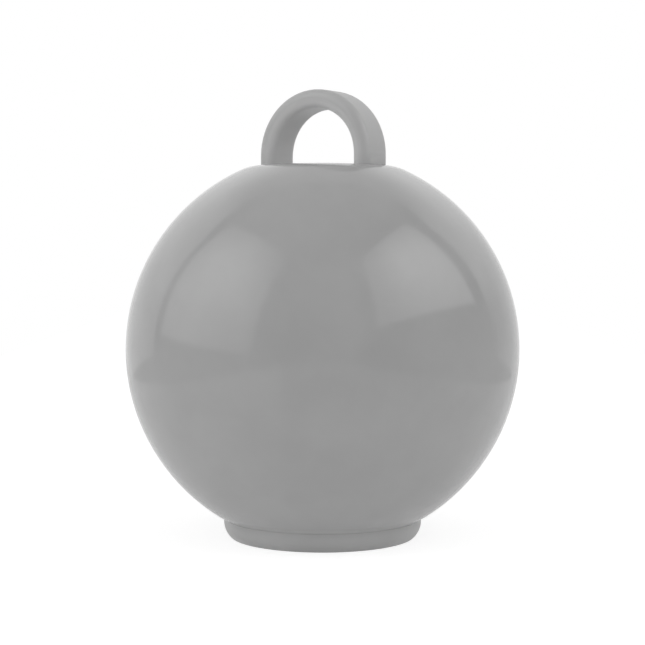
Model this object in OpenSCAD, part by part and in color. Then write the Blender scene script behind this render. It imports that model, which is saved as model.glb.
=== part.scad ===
// Balloon weight: a hollow round body with a tie loop moulded on its flat
// crown, a foot that plugs the filling mouth, and a sand filling inside.
// Millimetres. The origin is the centre of the resting face, +Z is up, and
// the hole of the loop runs along Y.

/* [Ball] */
// Outside diameter of the round body
ball_d = 45; // [38:0.5:60]
// Wall thickness of the moulded shell
wall = 1.5; // [1:0.1:2.2]
// How far the flat crown lies below the top of the full ball
crown_drop = 1.55; // [1.1:0.05:2.5]
// Radius of the soft edge between the crown and the ball
crown_round = 5.4; // [3:0.1:8]

/* [Loop] */
// Width over the two legs
loop_w = 14.8; // [12:0.1:18]
// Thickness of the strap, seen along the hole
strap_t = 2.1; // [1.5:0.1:2.6]
// Depth of the strap, along the hole
strap_d = 4.8; // [3.5:0.1:6.5]
// Rounding of the strap's long edges
strap_round = 0.95; // [0.2:0.05:1.2]
// Straight part of each leg, from the crown to the arch
leg_h = 1.2; // [0.4:0.1:6]

/* [Foot] */
// Outside diameter of the foot
foot_d = 22.75; // [20.5:0.05:27]
// Height of the foot, from the table to the ball's floor
foot_h = 2.15; // [1.8:0.05:5]
// Radius of the curve that runs down the foot's side to the table
foot_round = 2.3; // [1:0.1:4]
// How far that curve has drawn in where it meets the table
foot_tuck = 0.8; // [0.2:0.05:1.2]
// Rounding of the foot's upper edge, which shows as a fine line
foot_line = 0.04; // [0.03:0.01:0.2]
// Diameter of the shallow recess under the foot
recess_d = 15; // [10:0.5:17]
// Depth of the recess
recess_h = 0.4; // [0.2:0.05:0.6]
// Diameter of the moulding gate's stub in the recess
gate_d = 1.6; // [1:0.1:3]
// Height of the gate's stub
gate_h = 0.15; // [0.05:0.05:0.2]

/* [Mouth and plug] */
// Diameter of the filling mouth in the ball's floor
mouth_d = 16; // [13:0.1:17]
// Radial clearance of the plug in the mouth
plug_fit = 0.15; // [0.05:0.01:0.25]
// Wall of the plug's ring
plug_wall = 1.2; // [0.8:0.1:1.8]
// How far the catch bead stands out past the edge of the mouth
catch_out = 0.3; // [0.15:0.05:0.6]
// Height of the catch bead
catch_h = 1.1; // [0.8:0.1:2]
// Play between the catch bead and the ball's floor
catch_play = 0.1; // [0.05:0.01:0.2]

/* [Filling] */
// Settling gap between the filling and the pieces round it
fill_gap = 0.2; // [0.1:0.05:0.4]
// Air left above the filling, under the crown
fill_air = 2.5; // [1:0.5:15]

/* [Hidden] */
$fn = 96;
ball_r = ball_d / 2;
foot_r = foot_d / 2;
mouth_r = mouth_d / 2;
// The ball's floor is cut where the ball has narrowed to the foot
floor_z = foot_h;
ball_z = floor_z + sqrt(ball_r * ball_r - foot_r * foot_r);
crown_z = ball_z + ball_r - crown_drop;
// Loop: the arch's middle line, and its edges limited by the strap
arch_r = (loop_w - strap_t) / 2;
arch_z = crown_z + leg_h;
strap_edge = min(strap_round, strap_t / 2 - 0.05);
leg_root = crown_drop + wall;
// Foot: the side's curve starts this high, below the fine upper edge
curve_h = min(sqrt(pow(foot_round, 2) - pow(foot_round - foot_tuck, 2)), foot_h - foot_line);
// Plug: the ring stands in the mouth and its bead hooks over the floor
plug_r = mouth_r - plug_fit;
bead_z = floor_z + wall + catch_play;
bead_r = mouth_r + catch_out;
plug_top_z = bead_z + catch_h;
// Filling: its core inside the plug's ring, and its level under the crown
core_r = plug_r - plug_wall - fill_gap;
fill_top_z = crown_z - wall - fill_air;
// A cut passes this far through a face
over = 1;

// The right half of a ball with its centre at height mid, cut flat at the
// crown with a soft edge of radius edge, and cut flat at the floor
module ball_half(r, mid, crown, edge, floor) {
    edge_z = crown - edge;
    edge_x = sqrt(pow(r - edge, 2) - pow(edge_z - mid, 2));
    // Height at which the soft edge runs into the ball
    tangent_z = mid + (edge_z - mid) * r / (r - edge);
    intersection() {
        union() {
            intersection() {
                translate([0, mid]) circle(r);
                translate([0, floor]) square([r, tangent_z - floor]);
            }
            translate([edge_x, edge_z]) circle(edge);
            translate([0, floor]) square([edge_x, crown - floor]);
        }
        translate([0, floor]) square([r + over, crown - floor]);
    }
}

// A rectangle about the origin with round corners
module round_rect(w, d, edge) {
    square([w - 2 * edge, d], center = true);
    square([w, d - 2 * edge], center = true);
    for (x = [-1, 1], y = [-1, 1])
        translate([x * (w / 2 - edge), y * (d / 2 - edge)]) circle(edge);
}

// The space inside the shell
module cavity() {
    rotate_extrude()
        ball_half(ball_r - wall, ball_z, crown_z - wall, crown_round - wall, floor_z + wall);
}

module strap_section() {
    round_rect(strap_t, strap_d, strap_edge);
}

// Half-round arch on two straight legs, rooted in the shell's wall
module loop() {
    translate([0, 0, arch_z])
        rotate([90, 0, 0])
            rotate_extrude(angle = 180) translate([arch_r, 0]) strap_section();
    for (side = [-1, 1])
        translate([side * arch_r, 0, crown_z - leg_root])
            linear_extrude(leg_root + leg_h) strap_section();
}

module ball_shell() {
    color("#979797")
        difference() {
            union() {
                rotate_extrude()
                    ball_half(ball_r, ball_z, crown_z, crown_round, floor_z);
                loop();
            }
            cavity();
            translate([0, 0, floor_z - over]) cylinder(r = mouth_r, h = wall + 2 * over);
        }
}

// Right half of the foot: a disc with a curved side and a fine upper edge
module foot_half() {
    intersection() {
        translate([foot_r - foot_round, curve_h]) circle(foot_round);
        square([foot_r, curve_h]);
    }
    square([foot_r - foot_round, curve_h]);
    translate([0, curve_h]) square([foot_r, foot_h - foot_line - curve_h]);
    translate([0, foot_h - foot_line]) square([foot_r - foot_line, foot_line]);
    translate([foot_r - foot_line, foot_h - foot_line]) circle(foot_line);
}

// The foot with the ring that stands in the mouth and its barbed catch bead
module base_plug() {
    color("#9f9f9f")
        difference() {
            union() {
                rotate_extrude() foot_half();
                translate([0, 0, foot_h]) cylinder(r = plug_r, h = plug_top_z - foot_h);
                translate([0, 0, bead_z]) cylinder(r1 = bead_r, r2 = plug_r, h = catch_h);
            }
            translate([0, 0, foot_h]) cylinder(r = plug_r - plug_wall, h = plug_top_z);
            recess();
        }
}

// The shallow space under the foot, round the stub that the gate leaves
module recess() {
    difference() {
        translate([0, 0, -over]) cylinder(d = recess_d, h = recess_h + over);
        translate([0, 0, recess_h - gate_h]) cylinder(d = gate_d, h = gate_h + over);
    }
}

// Sand stands on the plug inside its ring and fills the ball round it
module sand_filling() {
    inset = wall + fill_gap;
    color("#cbb489")
        union() {
            translate([0, 0, foot_h]) cylinder(r = core_r, h = fill_top_z - foot_h);
            difference() {
                intersection() {
                    rotate_extrude()
                        ball_half(ball_r - inset, ball_z, crown_z - inset,
                                  crown_round - inset, floor_z + inset);
                    cylinder(r = ball_r, h = fill_top_z);
                }
                cylinder(r = bead_r + fill_gap, h = plug_top_z + fill_gap);
            }
        }
}

ball_shell();
base_plug();
sand_filling();
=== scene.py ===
# %% [markdown]
# # A moulded balloon weight
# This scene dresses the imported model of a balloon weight: a round grey
# plastic body with a tie loop, closed by a pressed-in foot and filled with
# sand. The scene adds the finishes, the camera and the light. Every length
# is in metres.

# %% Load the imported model
import math

import bpy
from mathutils import Matrix, Vector

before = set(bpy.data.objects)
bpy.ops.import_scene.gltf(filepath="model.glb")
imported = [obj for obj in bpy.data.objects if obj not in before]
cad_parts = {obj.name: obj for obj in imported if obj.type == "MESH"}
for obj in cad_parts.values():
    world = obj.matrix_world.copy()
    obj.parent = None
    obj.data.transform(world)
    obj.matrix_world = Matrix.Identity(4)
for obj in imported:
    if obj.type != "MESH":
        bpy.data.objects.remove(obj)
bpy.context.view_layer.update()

MM = 0.001
scene = bpy.context.scene
print("nodes:", sorted(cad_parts))

# %% [markdown]
# ## Sizes of the part
# The imported solids carry no names for their sizes. The few that place the
# camera and the paint are written here again, as the part's source has
# them, and the heights follow from these.

# %% Name the sizes
BALL_R = 22.5 * MM            # outside radius of the round body
FOOT_R = 11.375 * MM          # radius of the foot, at which the ball is cut off
FLOOR_Z = 2.15 * MM           # height of that cut, and so of the foot
CROWN_DROP = 1.55 * MM        # how far the flat crown lies below the full ball's top
LEG_H = 1.2 * MM              # straight part of the loop's legs
BALL_CENTRE = Vector((0, 0, FLOOR_Z + math.sqrt(BALL_R ** 2 - FOOT_R ** 2)))
CROWN_Z = BALL_CENTRE.z + BALL_R - CROWN_DROP
ARCH_Z = CROWN_Z + LEG_H      # height of the arch's axis

# %% [markdown]
# ## Camera
# The photograph was taken from close by, slightly above the ball's middle,
# and about 33 degrees to the right of the loop's open side. A long lens at
# eight ball radii gives the same small amount of perspective. The camera is
# aimed above the ball's middle, because the picture is centred on the ball
# and the loop together. Shifting the lens would do the same, but a turned
# camera stays as it should when other views move it.

# %% Place the camera
PICTURE_PX = 645              # width and height of the picture
SENSOR_MM = 36.0
BALL_R_PX = 197.03            # radius of the ball's outline in the picture
BALL_PX = (322.55, 348.7)     # where its centre lies, from the top left
CAMERA_AZIMUTH = math.radians(33.2)
CAMERA_HEIGHT = math.radians(3.94)
CAMERA_AWAY = 7.984 * BALL_R
CAMERA_REACH = (0.01, 10)     # the nearest and the farthest distance that it sees


def direction(azimuth, height):
    """The unit vector to a place, from its angle to the right of -Y and its height."""
    level = math.cos(height)
    return Vector((math.sin(azimuth) * level, -math.cos(azimuth) * level, math.sin(height)))


def add_camera():
    """A camera that sees the ball as large and where the picture has it."""
    away = CAMERA_AWAY / BALL_R
    focal_px = BALL_R_PX * math.sqrt(away ** 2 - 1)
    back = direction(CAMERA_AZIMUTH, CAMERA_HEIGHT)
    right = Vector((0, 0, 1)).cross(back).normalized()
    up = back.cross(right)
    half = PICTURE_PX / 2
    aim = -back - right * (BALL_PX[0] - half) / focal_px + up * (BALL_PX[1] - half) / focal_px
    data = bpy.data.cameras.new("camera")
    data.sensor_width = SENSOR_MM
    data.lens = focal_px * SENSOR_MM / PICTURE_PX
    data.clip_start, data.clip_end = CAMERA_REACH
    camera = bpy.data.objects.new("camera", data)
    scene.collection.objects.link(camera)
    camera.location = BALL_CENTRE + back * CAMERA_AWAY
    camera.rotation_euler = aim.to_track_quat("-Z", "Y").to_euler()
    return camera


scene.camera = add_camera()
scene.view_settings.view_transform = "Standard"
print("lens in mm:", round(scene.camera.data.lens, 1))

# %% [markdown]
# ## Colours and nodes
# A finish starts from a colour as it is seen on a screen. Shaders work in
# linear light, so one function turns the hex value into that. A second
# function adds any node with its settings and links, which keeps each
# material short enough to read as a list of what the eye sees. It names an
# input as Blender does, with _ for a space, or as i and a number where
# several inputs have one name: i6 and i7 are the two colours of a Mix.

# %% Helpers for materials
SMOOTH = {"interpolation_type": "SMOOTHSTEP"}     # a Map Range that eases in and out
COLOURS = {"data_type": "RGBA"}                   # a Mix of colours, whose result is output 2


def linear(hex_colour):
    """A hex colour in linear light, with alpha."""
    values = [int(hex_colour[i:i + 2], 16) / 255 for i in (1, 3, 5)]
    return [v / 12.92 if v <= 0.04045 else ((v + 0.055) / 1.055) ** 2.4 for v in values] + [1]


def add_node(tree, kind, settings=None, **inputs):
    """A node of a kind, with its own settings, and inputs that are values or other outputs."""
    node = tree.nodes.new(kind)
    for name, value in (settings or {}).items():
        setattr(node, name, value)
    for name, value in inputs.items():
        numbered = name[0] == "i" and name[1:].isdigit()
        socket = node.inputs[int(name[1:]) if numbered else name.replace("_", " ")]
        if isinstance(value, bpy.types.NodeSocket):
            tree.links.new(value, socket)
        else:
            socket.default_value = value
    return node


def new_material(name):
    """An empty material and its node tree, with the output node in it."""
    material = bpy.data.materials.new(name)
    material.use_nodes = True
    material.node_tree.nodes.clear()
    output = material.node_tree.nodes.new("ShaderNodeOutputMaterial")
    return material, material.node_tree, output


print("#808080 in linear light:", round(linear("#808080")[0], 3))

# %% [markdown]
# ## Where the patterns lie
# Every pattern is laid out in the object's own coordinates, which are
# metres from the centre of the foot. A UV map could do this as well, but
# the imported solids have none, and their coordinates run without a seam. A
# texture's scale counts its waves in one metre, so a size in millimetres on
# the real part gives the scale. The two grey pieces share a pigment, so
# they share its clouds too.

# %% Sizes of patterns, the pigment's clouds, and how a finish is put on
CLOUD_MM = 6.0
CLOUD_DETAIL = 3                         # finer layers of noise on the first
NOISE_SPAN = (0.35, 0.65)                # the part of a noise's range that it really uses


def per_metre(size_mm):
    """The scale at which a texture's waves or cells are this large."""
    return 1 / (size_mm * MM)


def pigment_clouds(tree, place):
    """Soft clouds, as a value from 0 to 1."""
    noise = add_node(tree, "ShaderNodeTexNoise", Vector=place, Scale=per_metre(CLOUD_MM),
                     Detail=CLOUD_DETAIL)
    return add_node(tree, "ShaderNodeMapRange", Value=noise.outputs[0],
                    From_Min=NOISE_SPAN[0], From_Max=NOISE_SPAN[1]).outputs[0]


def put_on(node, material):
    """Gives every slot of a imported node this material."""
    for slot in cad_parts[node].material_slots:
        slot.material = material
    print(node, "wears", material.name)


print("clouds per metre:", round(per_metre(CLOUD_MM)))

# %% [markdown]
# ## The shell: polypropylene from a polished mould
# The real shell is grey polypropylene, moulded in polished steel. Its skin
# is glossy, so it mirrors the lamps as clear patches with slightly soft
# edges. The plastic shrank a little as it cooled, which left long and very
# shallow waves, and they make the patches' edges waver. The pigment is
# faintly cloudy, and handling has left fine hairlines.
#
# The loop is the same plastic, but two things set it apart. Its narrow slot
# in the mould couldn't be polished, so it has an even sheen with no mirror
# image in it. And light passes through the thin strap to its shaded inner
# side and its roots. Subsurface scattering could carry that light, but it
# gave too little of it in so thin a strap, so that light is painted into the
# strap's colour: the whole strap is painted paler than the ball, its inner
# side palest and its outer side paler at the roots. The loop and the ball
# are one solid, so the finish changes with the height, at the legs' roots,
# and the strap's painted light with the height and with the distance from
# the arch's axis. Light softens the shade in the joint over the foot in the
# same way, so the ball's lowest edge is painted paler too, as painted light.

# %% Tones of the shell, and the light painted into them
CLOUD_TONES = ("#f9f9f9", "#ffffff")     # they multiply every tone
BALL_TONE = "#999999"
# Painted light: the ball's lowest edge is painted paler, where light in the plastic softens the shade in
# the joint over the foot.
JOINT_PAINTED_LIGHT = "#acacac"                   # the ball's lowest edge, where it meets the foot
JOINT_PAINTED_LIGHT_HEIGHTS = (FLOOR_Z + 0.15 * MM, FLOOR_Z + 1.05 * MM)    # where it becomes the ball's
# Painted light: the strap's tones are paler than the ball's, most of all on its shaded inner side, in
# place of the light that passes through the thin plastic.
LOOP_INSIDE_PAINTED_LIGHT = ("#c8c8c8", "#cfcfcf")     # the strap's inner side, at its roots and higher up
LOOP_OUTSIDE_PAINTED_LIGHT = ("#adadad", "#a3a3a3")    # its outer side, at its roots and higher up
LOOP_ROOTS = (CROWN_Z + 0.5 * MM, CROWN_Z + 4.5 * MM)         # where the roots' tones give way
STRAP_SIDES = (5.3 * MM, 6.4 * MM)       # from the arch's axis to the inner side and the middle


def strap_painted_light(tree, at):
    """Painted light for the strap: paler on the inner side than on the outer side, and changing above
    the roots.
    """
    # Only the arch is round. Beside the straight legs, the height doesn't count
    rise = add_node(tree, "ShaderNodeMath", {"operation": "SUBTRACT"}, i0=at.outputs["Z"], i1=ARCH_Z)
    rise = add_node(tree, "ShaderNodeMath", {"operation": "MAXIMUM"}, i0=rise.outputs[0], i1=0)
    beside = add_node(tree, "ShaderNodeCombineXYZ", X=at.outputs["X"], Z=rise.outputs[0])
    from_axis = add_node(tree, "ShaderNodeVectorMath", {"operation": "LENGTH"}, i0=beside.outputs[0])
    outwards = add_node(tree, "ShaderNodeMapRange", Value=from_axis.outputs["Value"],
                        From_Min=STRAP_SIDES[0], From_Max=STRAP_SIDES[1]).outputs[0]
    upwards = add_node(tree, "ShaderNodeMapRange", SMOOTH, Value=at.outputs["Z"],
                       From_Min=LOOP_ROOTS[0], From_Max=LOOP_ROOTS[1]).outputs[0]
    painted_inside, painted_outside = (add_node(tree, "ShaderNodeMix", COLOURS, i0=upwards,
                                i6=linear(tones[0]), i7=linear(tones[1])).outputs[2]
                       for tones in (LOOP_INSIDE_PAINTED_LIGHT, LOOP_OUTSIDE_PAINTED_LIGHT))
    return add_node(tree, "ShaderNodeMix", COLOURS, i0=outwards, i6=painted_inside, i7=painted_outside).outputs[2]


def ball_tone_and_painted_light(tree, at):
    """The ball's even tone, with painted light that makes its lowest edge paler."""
    upwards = add_node(tree, "ShaderNodeMapRange", SMOOTH, Value=at.outputs["Z"],
                       From_Min=JOINT_PAINTED_LIGHT_HEIGHTS[0], From_Max=JOINT_PAINTED_LIGHT_HEIGHTS[1]).outputs[0]
    return add_node(tree, "ShaderNodeMix", COLOURS, i0=upwards,
                    i6=linear(JOINT_PAINTED_LIGHT), i7=linear(BALL_TONE)).outputs[2]


print("the lowest edge's tone ends at", round(JOINT_PAINTED_LIGHT_HEIGHTS[1] / MM, 2), "mm")

# %% Gloss, hairlines and waves of the shell
LOOP_STARTS = (CROWN_Z + 0.003 * MM, CROWN_Z + 0.027 * MM)    # where the ball's look gives way
POLISHED = (0.08, 0.12)                  # roughness of the ball, low and high
UNPOLISHED = (0.34, 0.42)                # roughness of the loop
HAIRLINE_MM = (6.0, 0.15)                # a hairline's length and width, wider than it is, to show
HAIRLINE_TURN = (0.3, 0.5, 0.8)          # in radians, so that they run askew
HAIRLINE_SPAN = (0.72, 0.80)             # only a noise's highest crests are hairlines
HAIRLINE_ROUGHER = 0.06
WAVE_MM = 2.6                            # length of the shrinkage waves
WAVE_DETAIL = 1
WAVE_DEPTH = 0.0012 * MM
POLYPROPYLENE_IOR = 1.49


def hairlines(tree, place):
    """What the hairlines add to the roughness, which is 0 beside them."""
    long, thin = (per_metre(size) for size in HAIRLINE_MM)
    drawn_out = add_node(tree, "ShaderNodeMapping", Vector=place, Rotation=HAIRLINE_TURN,
                         Scale=(long, thin, thin))
    streak = add_node(tree, "ShaderNodeTexNoise", Vector=drawn_out.outputs[0], Scale=1, Detail=0)
    return add_node(tree, "ShaderNodeMapRange", Value=streak.outputs[0], From_Min=HAIRLINE_SPAN[0],
                    From_Max=HAIRLINE_SPAN[1], To_Max=HAIRLINE_ROUGHER).outputs[0]


def polished_polypropylene():
    """Glossy on the ball; on the loop a dull sheen, with painted light that makes it paler."""
    material, tree, output = new_material("polished_grey_polypropylene")
    place = add_node(tree, "ShaderNodeTexCoord").outputs["Object"]
    at = add_node(tree, "ShaderNodeSeparateXYZ", Vector=place)
    on_loop = add_node(tree, "ShaderNodeMapRange", SMOOTH, Value=at.outputs["Z"],
                       From_Min=LOOP_STARTS[0], From_Max=LOOP_STARTS[1]).outputs[0]
    # The tone with its painted light: paler on the strap and at the ball's lowest edge.
    tone_and_painted_light = add_node(tree, "ShaderNodeMix", COLOURS, i0=on_loop,
                         i6=ball_tone_and_painted_light(tree, at), i7=strap_painted_light(tree, at))
    cloud = pigment_clouds(tree, place)
    cloud_tone = add_node(tree, "ShaderNodeMix", COLOURS, i0=cloud,
                          i6=linear(CLOUD_TONES[0]), i7=linear(CLOUD_TONES[1]))
    tone = add_node(tree, "ShaderNodeMix", COLOURS | {"blend_type": "MULTIPLY"}, i0=1,
                    i6=tone_and_painted_light.outputs[2], i7=cloud_tone.outputs[2])
    gloss = add_node(tree, "ShaderNodeMapRange", Value=cloud, To_Min=POLISHED[0], To_Max=POLISHED[1])
    scuffed = add_node(tree, "ShaderNodeMath", {"operation": "ADD"},
                       i0=gloss.outputs[0], i1=hairlines(tree, place))
    sheen = add_node(tree, "ShaderNodeMapRange", Value=cloud, To_Min=UNPOLISHED[0], To_Max=UNPOLISHED[1])
    roughness = add_node(tree, "ShaderNodeMix", i0=on_loop, i2=scuffed.outputs[0], i3=sheen.outputs[0])
    wave = add_node(tree, "ShaderNodeTexNoise", Vector=place, Scale=per_metre(WAVE_MM),
                    Detail=WAVE_DETAIL)
    skin = add_node(tree, "ShaderNodeBump", Height=wave.outputs[0], Strength=1, Distance=WAVE_DEPTH)
    shader = add_node(tree, "ShaderNodeBsdfPrincipled", Base_Color=tone.outputs[2],
                      IOR=POLYPROPYLENE_IOR, Roughness=roughness.outputs[0], Normal=skin.outputs[0])
    tree.links.new(shader.outputs[0], output.inputs["Surface"])
    return material


put_on("ball_shell", polished_polypropylene())

# %% [markdown]
# ## The plug: polypropylene from a spark-eroded mould
# The foot is moulded apart, in the same grey plastic, but its mould was cut
# by spark erosion and left unpolished. That prints a fine grain on the
# plastic, so it looks satin: the lamps show only as broad soft sheens. Its
# colour is painted a little paler than the ball's, as painted light that
# lifts the shade on the foot under the ball. The grain could be raised on
# the mesh, but it is far finer than the faces, so one noise makes both the
# bump and the changing roughness.

# %% Tones and grain of the plug
# Painted light: the plug's grey is painted a little paler than the ball's, to lift the shade that falls
# on the foot under the ball.
PLUG_TONES_AND_PAINTED_LIGHT = ("#9f9f9f", "#a4a4a4")
PLUG_ROUGHNESS = (0.28, 0.36)
GRAIN_MM = 0.3                           # spark-eroded grain, coarser than it is, to show
GRAIN_DETAIL = 2
GRAIN_DEPTH = 0.0015 * MM


def satin_polypropylene():
    """An even grey, painted a little paler as painted light, with a fine grain."""
    material, tree, output = new_material("satin_grey_polypropylene")
    place = add_node(tree, "ShaderNodeTexCoord").outputs["Object"]
    tone = add_node(tree, "ShaderNodeMix", COLOURS, i0=pigment_clouds(tree, place),
                    i6=linear(PLUG_TONES_AND_PAINTED_LIGHT[0]), i7=linear(PLUG_TONES_AND_PAINTED_LIGHT[1]))
    grain = add_node(tree, "ShaderNodeTexNoise", Vector=place, Scale=per_metre(GRAIN_MM),
                     Detail=GRAIN_DETAIL)
    roughness = add_node(tree, "ShaderNodeMapRange", Value=grain.outputs[0],
                         From_Min=NOISE_SPAN[0], From_Max=NOISE_SPAN[1],
                         To_Min=PLUG_ROUGHNESS[0], To_Max=PLUG_ROUGHNESS[1])
    skin = add_node(tree, "ShaderNodeBump", Height=grain.outputs[0], Strength=1, Distance=GRAIN_DEPTH)
    shader = add_node(tree, "ShaderNodeBsdfPrincipled", Base_Color=tone.outputs[2],
                      IOR=POLYPROPYLENE_IOR, Roughness=roughness.outputs[0], Normal=skin.outputs[0])
    tree.links.new(shader.outputs[0], output.inputs["Surface"])
    return material


put_on("base_plug", satin_polypropylene())

# %% [markdown]
# ## The filling: dry quartz sand
# Sand isn't seen from outside, but the model may be cut open. It is washed
# and dried quartz, sieved to grains of about half a millimetre. Each grain
# has a tone of its own between honey and cream, and the rounded grains
# make the surface dull and pebbled. Modelled grains would be far too many,
# so the cells of a Voronoi texture stand for them.

# %% Tones and grains of the sand
SAND_TONES = ("#b8965f", "#e0cda6")      # a honey grain and a cream one
SAND_ROUGHNESS = (0.8, 0.95)
SAND_MM = 0.5
SAND_DEPTH = 0.15 * MM


def dry_quartz_sand():
    """Rounded grains, each with its own tone."""
    material, tree, output = new_material("dry_quartz_sand")
    place = add_node(tree, "ShaderNodeTexCoord").outputs["Object"]
    grain = add_node(tree, "ShaderNodeTexVoronoi", Vector=place, Scale=per_metre(SAND_MM))
    own = add_node(tree, "ShaderNodeSeparateColor", Color=grain.outputs["Color"])
    tone = add_node(tree, "ShaderNodeMix", COLOURS, i0=own.outputs[0],
                    i6=linear(SAND_TONES[0]), i7=linear(SAND_TONES[1]))
    roughness = add_node(tree, "ShaderNodeMapRange", Value=own.outputs[1],
                         To_Min=SAND_ROUGHNESS[0], To_Max=SAND_ROUGHNESS[1])
    pebbled = add_node(tree, "ShaderNodeBump", {"invert": True}, Height=grain.outputs["Distance"],
                       Strength=1, Distance=SAND_DEPTH)
    shader = add_node(tree, "ShaderNodeBsdfPrincipled", Base_Color=tone.outputs[2],
                      Roughness=roughness.outputs[0], Normal=pebbled.outputs[0])
    tree.links.new(shader.outputs[0], output.inputs["Surface"])
    return material


put_on("sand_filling", dry_quartz_sand())

# %% [markdown]
# ## Table
# The real table is a narrow strip of white, and its edges are the level
# lines that the gloss shows near the ball's sides. It gives more light than
# paper would, most of all round the weight, as if it were lit from below.
# The camera sees it pure white, but for the shadow under the foot. Stronger
# lamps could make it white too, but they would bleach the weight, so the
# paper has its own look for the camera's rays. From below it is clear, so
# that it never hides the weight.

# %% Add the table
TABLE_WIDE = 190 * MM
TABLE_LONG = 1.5
TABLE_GLOW = (0.20, 0.10)           # round the weight, and away from it
TABLE_NEAR = (40 * MM, 60 * MM)     # distances between which the one becomes the other
BACKDROP_AWAY = 1.0                 # the table ends at the backdrop
PAPER = "#eeeeee"
SEEN_GLOW = 0.75                    # what the camera sees of white paper in any case
SEEN_SHADE = "#aaaaaa"              # how strongly it sees light and shadow on it
VIEW_TURN = Matrix.Rotation(CAMERA_AZIMUTH, 4, "Z")


def lit_paper(name, glow):
    """White paper. The function glow adds the nodes for the light that it gives besides."""
    material, tree, output = new_material(name)
    seen = add_node(tree, "ShaderNodeLightPath").outputs["Is Camera Ray"]
    paper = add_node(tree, "ShaderNodeMix", COLOURS, i0=seen, i6=linear(PAPER), i7=linear(SEEN_SHADE))
    lit = add_node(tree, "ShaderNodeBsdfDiffuse", Color=paper.outputs[2])
    strength = add_node(tree, "ShaderNodeMix", i0=seen, i2=glow(tree), i3=SEEN_GLOW)
    glowing = add_node(tree, "ShaderNodeEmission", Strength=strength.outputs[0])
    front = add_node(tree, "ShaderNodeAddShader", i0=lit.outputs[0], i1=glowing.outputs[0])
    clear = add_node(tree, "ShaderNodeBsdfTransparent")
    behind = add_node(tree, "ShaderNodeNewGeometry").outputs["Backfacing"]
    both = add_node(tree, "ShaderNodeMixShader", i0=behind, i1=front.outputs[0], i2=clear.outputs[0])
    tree.links.new(both.outputs[0], output.inputs["Surface"])
    return material


def table_glow(tree):
    """Stronger round the weight, weaker away from it."""
    place = add_node(tree, "ShaderNodeTexCoord").outputs["Object"]
    away = add_node(tree, "ShaderNodeVectorMath", {"operation": "LENGTH"}, i0=place)
    return add_node(tree, "ShaderNodeMapRange", SMOOTH, Value=away.outputs["Value"],
                    From_Min=TABLE_NEAR[0], From_Max=TABLE_NEAR[1],
                    To_Min=TABLE_GLOW[0], To_Max=TABLE_GLOW[1]).outputs[0]


def stage_plane(name, centre, size, tilt, material):
    """A flat part of the studio that isn't part of the object, laid out as the camera sees it."""
    bpy.ops.object.select_all(action="DESELECT")
    bpy.ops.mesh.primitive_plane_add(size=1)
    plane = bpy.context.object
    plane.name = name
    plane.data.transform(VIEW_TURN @ Matrix.Translation(centre) @ Matrix.Rotation(tilt, 4, "X")
                         @ Matrix.Diagonal((*size, 1, 1)))
    plane.data.materials.append(material)
    print(name, "is", size[0], "m wide and", size[1], "m long or high")
    return plane


stage_plane("table", (0, BACKDROP_AWAY - TABLE_LONG / 2, 0), (TABLE_WIDE, TABLE_LONG), 0,
            lit_paper("white_table", table_glow))

# %% [markdown]
# ## Backdrop
# A white backdrop stands behind the weight. A lamp behind it would also
# light the weight from there, so the backdrop glows for the gloss alone, as
# the bright rim round the ball. The glow is weaker low down, most of all at
# the right. It is weak at the top middle as well, which gives the crown a
# darker cap between the bright rims. The camera looks through the backdrop
# at the white room.

# %% Add the backdrop
BACKDROP_SIZE = (4.65, 2.44)
BACKDROP_ASIDE = -0.15              # its middle stands a little to the left
BACKDROP_FOOT = -150 * MM           # its lower edge hangs below the table
BACKDROP_LOW = (0.53, 0.21)         # its glow low down, at its left and its right side
BACKDROP_HIGH = 0.75                # its glow higher up
BACKDROP_RISE = (0.2, 0.9)          # heights between which the one becomes the other
BACKDROP_WEDGE = (0.2, 1.1)         # heights over the diagonals between which its top middle dims
BACKDROP_DIM = 0.35                 # what is left of the glow there


def backdrop_glow(tree):
    """Only in the gloss, so that it doesn't light the weight."""
    # The plane lies turned with the camera, so its places are turned back first
    place = add_node(tree, "ShaderNodeTexCoord").outputs["Object"]
    turned = add_node(tree, "ShaderNodeVectorRotate", {"rotation_type": "Z_AXIS"}, Vector=place,
                      Angle=-CAMERA_AZIMUTH)
    at = add_node(tree, "ShaderNodeSeparateXYZ", Vector=turned.outputs[0])
    low = add_node(tree, "ShaderNodeMapRange", Value=at.outputs["X"],
                   From_Min=-BACKDROP_SIZE[0] / 2, From_Max=BACKDROP_SIZE[0] / 2,
                   To_Min=BACKDROP_LOW[0], To_Max=BACKDROP_LOW[1])
    level = add_node(tree, "ShaderNodeMapRange", SMOOTH, Value=at.outputs["Z"],
                     From_Min=BACKDROP_RISE[0], From_Max=BACKDROP_RISE[1],
                     To_Min=low.outputs[0], To_Max=BACKDROP_HIGH)
    aside = add_node(tree, "ShaderNodeMath", {"operation": "ABSOLUTE"}, i0=at.outputs["X"])
    above = add_node(tree, "ShaderNodeMath", {"operation": "SUBTRACT"},
                     i0=at.outputs["Z"], i1=aside.outputs[0])
    wedge = add_node(tree, "ShaderNodeMapRange", SMOOTH, Value=above.outputs[0],
                     From_Min=BACKDROP_WEDGE[0], From_Max=BACKDROP_WEDGE[1],
                     To_Min=1, To_Max=BACKDROP_DIM)
    glow = add_node(tree, "ShaderNodeMath", {"operation": "MULTIPLY"},
                    i0=level.outputs[0], i1=wedge.outputs[0])
    in_gloss = add_node(tree, "ShaderNodeLightPath").outputs["Is Glossy Ray"]
    return add_node(tree, "ShaderNodeMath", {"operation": "MULTIPLY"},
                    i0=in_gloss, i1=glow.outputs[0]).outputs[0]


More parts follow.
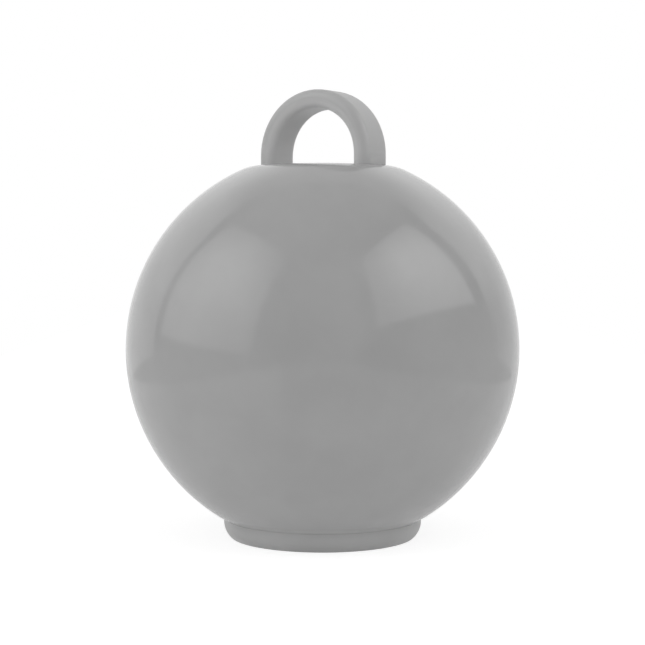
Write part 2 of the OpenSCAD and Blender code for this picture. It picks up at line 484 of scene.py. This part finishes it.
backdrop = stage_plane("backdrop", (BACKDROP_ASIDE, BACKDROP_AWAY, BACKDROP_SIZE[1] / 2 + BACKDROP_FOOT),
                       BACKDROP_SIZE, math.pi / 2, lit_paper("white_backdrop", backdrop_glow))
backdrop.visible_camera = False

# %% [markdown]
# ## Softboxes
# Two softboxes stand left and right of the camera. Each shows in the gloss
# as a bright four-sided patch with a hot middle. Their cloths hang a little
# askew, so their sides lean. A plain area lamp would show as an even, hard
# rectangle. So each lamp has nodes that draw the light on it: a plain level
# all over, a hot middle that falls off as a bell curve, and four edges that
# fade. All lengths on a softbox are in parts of its distance, measured from
# the point at the height of the ball's middle, and its sides are named as
# they lie when seen from the ball.

# %% Draw the light of a softbox
SOFTBOX_AWAY = 0.4
BELL_FALL = -0.5                    # a bell curve is e to the power of this times the square


def softbox_light(tree, box, sides, leans, soft, plain, hot, middle, spread):
    """The nodes for the light on a softbox that reaches over box, which is left, right, bottom, top."""
    place = add_node(tree, "ShaderNodeNewGeometry")
    parts = add_node(tree, "ShaderNodeSeparateXYZ", i0=place.outputs["Parametric"])
    at = [add_node(tree, "ShaderNodeMapRange", i0=parts.outputs[axis], i3=low, i4=high).outputs[0]
          for axis, (low, high) in enumerate((box[:2], box[2:]))]
    flat = add_node(tree, "ShaderNodeCombineXYZ", X=at[0], Y=at[1])
    off = add_node(tree, "ShaderNodeVectorMath", {"operation": "SUBTRACT"},
                   i0=flat.outputs[0], i1=(*middle, 0))
    off = add_node(tree, "ShaderNodeVectorMath", {"operation": "DIVIDE"},
                   i0=off.outputs[0], i1=(*spread, 1))
    square = add_node(tree, "ShaderNodeVectorMath", {"operation": "DOT_PRODUCT"},
                      i0=off.outputs[0], i1=off.outputs[0])
    power = add_node(tree, "ShaderNodeMath", {"operation": "MULTIPLY"},
                     i0=square.outputs["Value"], i1=BELL_FALL)
    bell = add_node(tree, "ShaderNodeMath", {"operation": "EXPONENT"}, i0=power.outputs[0])
    light = add_node(tree, "ShaderNodeMath", {"operation": "MULTIPLY_ADD"},
                     i0=bell.outputs[0], i1=hot, i2=plain)
    for number, (side, lean, fade) in enumerate(zip(sides, leans, soft)):
        across, along = at if number < 2 else at[::-1]
        inwards = fade if number % 2 == 0 else -fade
        upright = add_node(tree, "ShaderNodeMath", {"operation": "MULTIPLY_ADD"},
                           i0=along, i1=-lean, i2=across)
        edge = add_node(tree, "ShaderNodeMapRange", SMOOTH,
                        i0=upright.outputs[0], i1=side, i2=side + inwards)
        light = add_node(tree, "ShaderNodeMath", {"operation": "MULTIPLY"},
                         i0=light.outputs[0], i1=edge.outputs[0])
    return light.outputs[0]


print("the softboxes stand", SOFTBOX_AWAY, "m from the ball's middle")

# %% Add the softboxes
def softbox(name, azimuth, sides, leans, soft, **levels):
    """An upright lamp. Sides, leans and soft widths go left, right, bottom, top.

    A lean is how far a side shifts over a length of 1. A soft width is how far
    inwards the side fades.
    """
    left = min(sides[0] + leans[0] * v for v in sides[2:])
    right = max(sides[1] + leans[1] * v for v in sides[2:])
    bottom = min(sides[2] + leans[2] * u for u in (left, right))
    top = max(sides[3] + leans[3] * u for u in (left, right))
    data = bpy.data.lights.new(name, "AREA")
    data.shape = "RECTANGLE"
    data.size, data.size_y = (right - left) * SOFTBOX_AWAY, (top - bottom) * SOFTBOX_AWAY
    # At this energy a level of 1 in the nodes is as bright as plain white
    data.energy = math.pi * data.size * data.size_y
    data.use_nodes = True
    tree = data.node_tree
    tree.nodes.clear()
    light = softbox_light(tree, (left, right, bottom, top), sides, leans, soft, **levels)
    glow = add_node(tree, "ShaderNodeEmission", Strength=light)
    add_node(tree, "ShaderNodeOutputLight", Surface=glow.outputs[0])
    lamp = bpy.data.objects.new(name, data)
    scene.collection.objects.link(lamp)
    back = direction(CAMERA_AZIMUTH + math.radians(azimuth), 0)
    aside = direction(CAMERA_AZIMUTH + math.radians(azimuth + 90), 0)
    lamp.location = (BALL_CENTRE + back * SOFTBOX_AWAY + aside * SOFTBOX_AWAY * (left + right) / 2
                     + Vector((0, 0, SOFTBOX_AWAY * (top + bottom) / 2)))
    lamp.rotation_euler = back.to_track_quat("Z", "Y").to_euler()
    lamp.visible_camera = False
    print(name, "is", round(data.size, 2), "m wide and", round(data.size_y, 2), "m high")


softbox("right_softbox", azimuth=70,
        sides=(-0.90, 0.66, 0.31, 1.75), leans=(0.02, 0, 0, 0.06), soft=(0.16, 0.07, 0.045, 0.15),
        plain=0.48, hot=1.88, middle=(0.01, 0.91), spread=(0.45, 0.46))
softbox("left_softbox", azimuth=-70,
        sides=(-0.70, 0.66, 0, 1.73), leans=(-0.04, 0.16, -0.075, 0.12), soft=(0.09, 0.16, 0.07, 0.15),
        plain=0.31, hot=1.77, middle=(0.01, 0.77), spread=(0.43, 0.53))

# %% [markdown]
# ## Room
# A studio is never black. A picture of a room could light the shadows, but
# an even grey from all sides is as good here, and the camera alone sees it
# as plain white.

# %% Set the world
ROOM_LEVEL = 0.58


def studio_room():
    """A world that is grey as a light, and white to the camera."""
    world = bpy.data.worlds.new("studio_room")
    world.use_nodes = True
    tree = world.node_tree
    tree.nodes.clear()
    seen = add_node(tree, "ShaderNodeLightPath").outputs["Is Camera Ray"]
    room = add_node(tree, "ShaderNodeBackground", Color=(1, 1, 1, 1), Strength=ROOM_LEVEL)
    white = add_node(tree, "ShaderNodeBackground", Color=(1, 1, 1, 1), Strength=1)
    mix = add_node(tree, "ShaderNodeMixShader", i0=seen, i1=room.outputs[0], i2=white.outputs[0])
    add_node(tree, "ShaderNodeOutputWorld", Surface=mix.outputs[0])
    return world


scene.world = studio_room()
print("level of the room's light:", ROOM_LEVEL)
